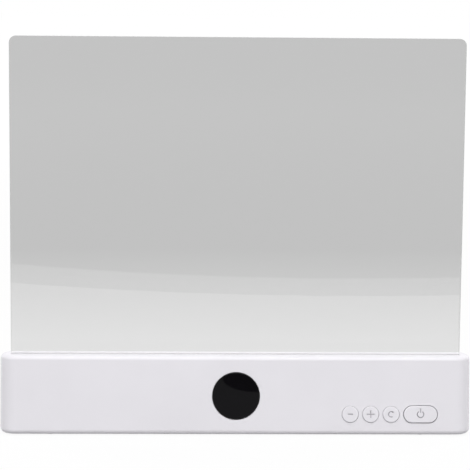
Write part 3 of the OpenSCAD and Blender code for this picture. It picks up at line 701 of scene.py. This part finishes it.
def break_edges(bm, edges, width, segments=2, limited=True):
    """Rounds edges off by a small width, limited by close neighbours unless told otherwise."""
    bmesh.ops.bevel(
        bm, geom=edges, offset=width, offset_type="OFFSET", affect="EDGES", segments=segments,
        profile=0.5, material=-1, clamp_overlap=limited)


def soften(bm):
    """Smooth shading that keeps sharp edges crisp."""
    bm.normal_update()
    for face in bm.faces:
        face.smooth = True
    for edge in bm.edges:
        edge.smooth = edge.calc_face_angle(0.0) < SHARP_ANGLE


def hand_over(bm, name, node, slot, extra=()):
    """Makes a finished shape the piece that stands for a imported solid."""
    mesh = bpy.data.meshes.new(name)
    bm.to_mesh(mesh)
    bm.free()
    for finish in (FINISHES[slot], *extra):
        mesh.materials.append(finish)
    piece = bpy.data.objects.new(name, mesh)
    bpy.context.scene.collection.objects.link(piece)
    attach(piece, frame["nodes"][node]["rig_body"])
    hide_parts(node)
    return piece


def even_shading(piece):
    """Lets the broad faces lead the shading."""
    modifier = piece.modifiers.new("even_shading", "WEIGHTED_NORMAL")
    modifier.keep_sharp = True


# Inside the housing, the rims of the pin holes within this reach stay sharp
PANEL_EDGE = 0.12 * MM
PIN_REACH = 101 * MM
REAR_FACING = 0.9
EDGE_FACING = 0.3


def make_panel():
    """Clear wedge panel with a softened front outline, a rear toned by print and painted light,
    and satin edges.
    """
    bm = bench_copy("light_panel")
    front = reach("light_panel", BACK)[0]

    def on_outline(p):
        return p.y < front + NEAR and (abs(p.x) > PIN_REACH or p.z > TOP_LEVEL)

    break_edges(bm, rim(bm, on_outline), PANEL_EDGE)
    bm.normal_update()
    for face in bm.faces:
        if face.normal.y > REAR_FACING:
            face.material_index = 1
        elif abs(face.normal.y) < EDGE_FACING and face.normal.z > -EDGE_FACING:
            face.material_index = 2
    panel = hand_over(bm, "panel_sheet", "light_panel", "clear_panel", (PRINT_AND_PAINTED_LIGHT_SHEET, SATIN_EDGE))
    panel.visible_shadow = False
    panel.visible_diffuse = False


SEAM_EDGE = 0.12 * MM
RIM_EDGE = 0.1 * MM
FRONT_LIP_EDGE = 0.15 * MM
REAR_LIP_EDGE = 0.5 * MM
SHELL_WALL = 1.2 * MM


def make_shell(node, name, lip_edge):
    """Half of the housing with its openings, seam edges and panel lip rounded."""
    bm = bench_copy(node)

    def on_face(p):
        return abs(p.dot(OUT_OF_FACE) - FACE_LEVEL) < NEAR

    def on_top(p):
        return abs(p.z - TOP_LEVEL) < NEAR

    def on_seam(p):
        outside = abs(p.x) > END_LEVEL - SHELL_WALL or p.z < GROUND_LEVEL + SHELL_WALL
        return abs(p.y) < NEAR and (outside or p.z > TOP_LEVEL - SHELL_WALL)

    break_edges(bm, rim(bm, on_face), RIM_EDGE)
    break_edges(bm, rim(bm, on_top), lip_edge, segments=3)
    break_edges(bm, rim(bm, on_seam), SEAM_EDGE)
    soften(bm)
    even_shading(hand_over(bm, name, node, "shell_white"))


def face_place(node, level):
    """Turn and shift from a flat drawing to the front face, at the middle of a solid."""
    axes = Matrix((ACROSS, UP_FACE, OUT_OF_FACE)).transposed().to_4x4()
    origin = middle(node, ACROSS) * ACROSS + middle(node, UP_FACE) * UP_FACE + level * OUT_OF_FACE
    return Matrix.Translation(origin) @ axes


WINDOW_EDGE = 0.35 * MM


def make_window():
    """Round black window with a softly rounded rim."""
    radius = size("window_lens", ACROSS) / 2
    thickness = size("window_lens", OUT_OF_FACE)
    bm = bmesh.new()
    bmesh.ops.create_cone(
        bm, cap_ends=True, segments=ROUND_SIDES, radius1=radius, radius2=radius, depth=thickness)
    bmesh.ops.translate(bm, vec=(0.0, 0.0, -thickness / 2), verts=bm.verts)
    break_edges(bm, rim(bm, lambda p: p.z > -NEAR), WINDOW_EDGE, segments=4)
    bmesh.ops.transform(bm, matrix=face_place("window_lens", FACE_LEVEL), verts=bm.verts)
    soften(bm)
    even_shading(hand_over(bm, "window_disc", "window_lens", "black_window"))


# The cycle sign takes a narrow slope, because a wide one crosses itself at its arrow head
SIGN_DEPTH = 0.8 * MM
SIGN_EDGES = {"minus": 0.17 * MM, "plus": 0.17 * MM, "cycle": 0.08 * MM, "power": 0.17 * MM}


def make_button(node, name, sign_edge):
    """Push button whose sunk sign has sloped upper edges and a floor greyed with painted shade.
    """
    bm = bench_copy(node)
    level = reach(node, OUT_OF_FACE)[1]
    groove = rim(bm, lambda p: abs(p.dot(OUT_OF_FACE) - level) < NEAR)
    break_edges(bm, groove, sign_edge, segments=1, limited=False)
    soften(bm)
    for face in bm.faces:
        # The floors of the sunk sign take the painted shade
        if abs(face.calc_center_median().dot(OUT_OF_FACE) - level + SIGN_DEPTH) < NEAR:
            face.material_index = 1
    even_shading(hand_over(bm, name, node, "button_white", (SIGN_PAINTED_SHADE,)))


HEAD_EDGE = 0.1 * MM


def make_screws():
    """Case screws with rounded heads."""
    bm = bench_copy("case_screws")
    level = reach("case_screws", BACK)[1]
    break_edges(bm, rim(bm, lambda p: abs(p.y - level) < NEAR), HEAD_EDGE)
    soften(bm)
    even_shading(hand_over(bm, "rear_screws", "case_screws", "screw_steel"))


FOOT_EDGE = 0.3 * MM


def make_feet():
    """Rubber feet with rounded lower rims."""
    bm = bench_copy("feet")
    break_edges(bm, rim(bm, lambda p: p.z < NEAR), FOOT_EDGE, segments=3)
    soften(bm)
    even_shading(hand_over(bm, "rubber_feet", "feet", "foot_rubber"))


PORT_EDGE = 0.08 * MM


def make_port():
    """Charging port sleeve with a rounded mouth."""
    bm = bench_copy("usb_shell")
    mouth = reach("usb_shell", ACROSS)[1]
    break_edges(bm, rim(bm, lambda p: p.x > mouth - NEAR), PORT_EDGE)
    soften(bm)
    even_shading(hand_over(bm, "port_sleeve", "usb_shell", "port_steel"))


def finish_inner_nodes():
    """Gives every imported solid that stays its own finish."""
    for part in frame["nodes"].values():
        if not part.hide_render:
            for holder in part.material_slots:
                holder.material = FINISHES[holder.material.name.split(".")[0]]


place_camera()
light_room()
lay_floor()
lay_dark_mat()
lay_bright_card()
stand_dark_hood()
light_studio()
make_panel()
make_shell("front_shell", "front_housing", FRONT_LIP_EDGE)
make_shell("rear_shell", "rear_housing", REAR_LIP_EDGE)
make_window()
for sign, sign_edge in SIGN_EDGES.items():
    make_button(f"{sign}_button", f"{sign}_key_cap", sign_edge)
make_screws()
make_feet()
make_port()
finish_inner_nodes()

bpy.context.scene.view_settings.view_transform = "Standard"
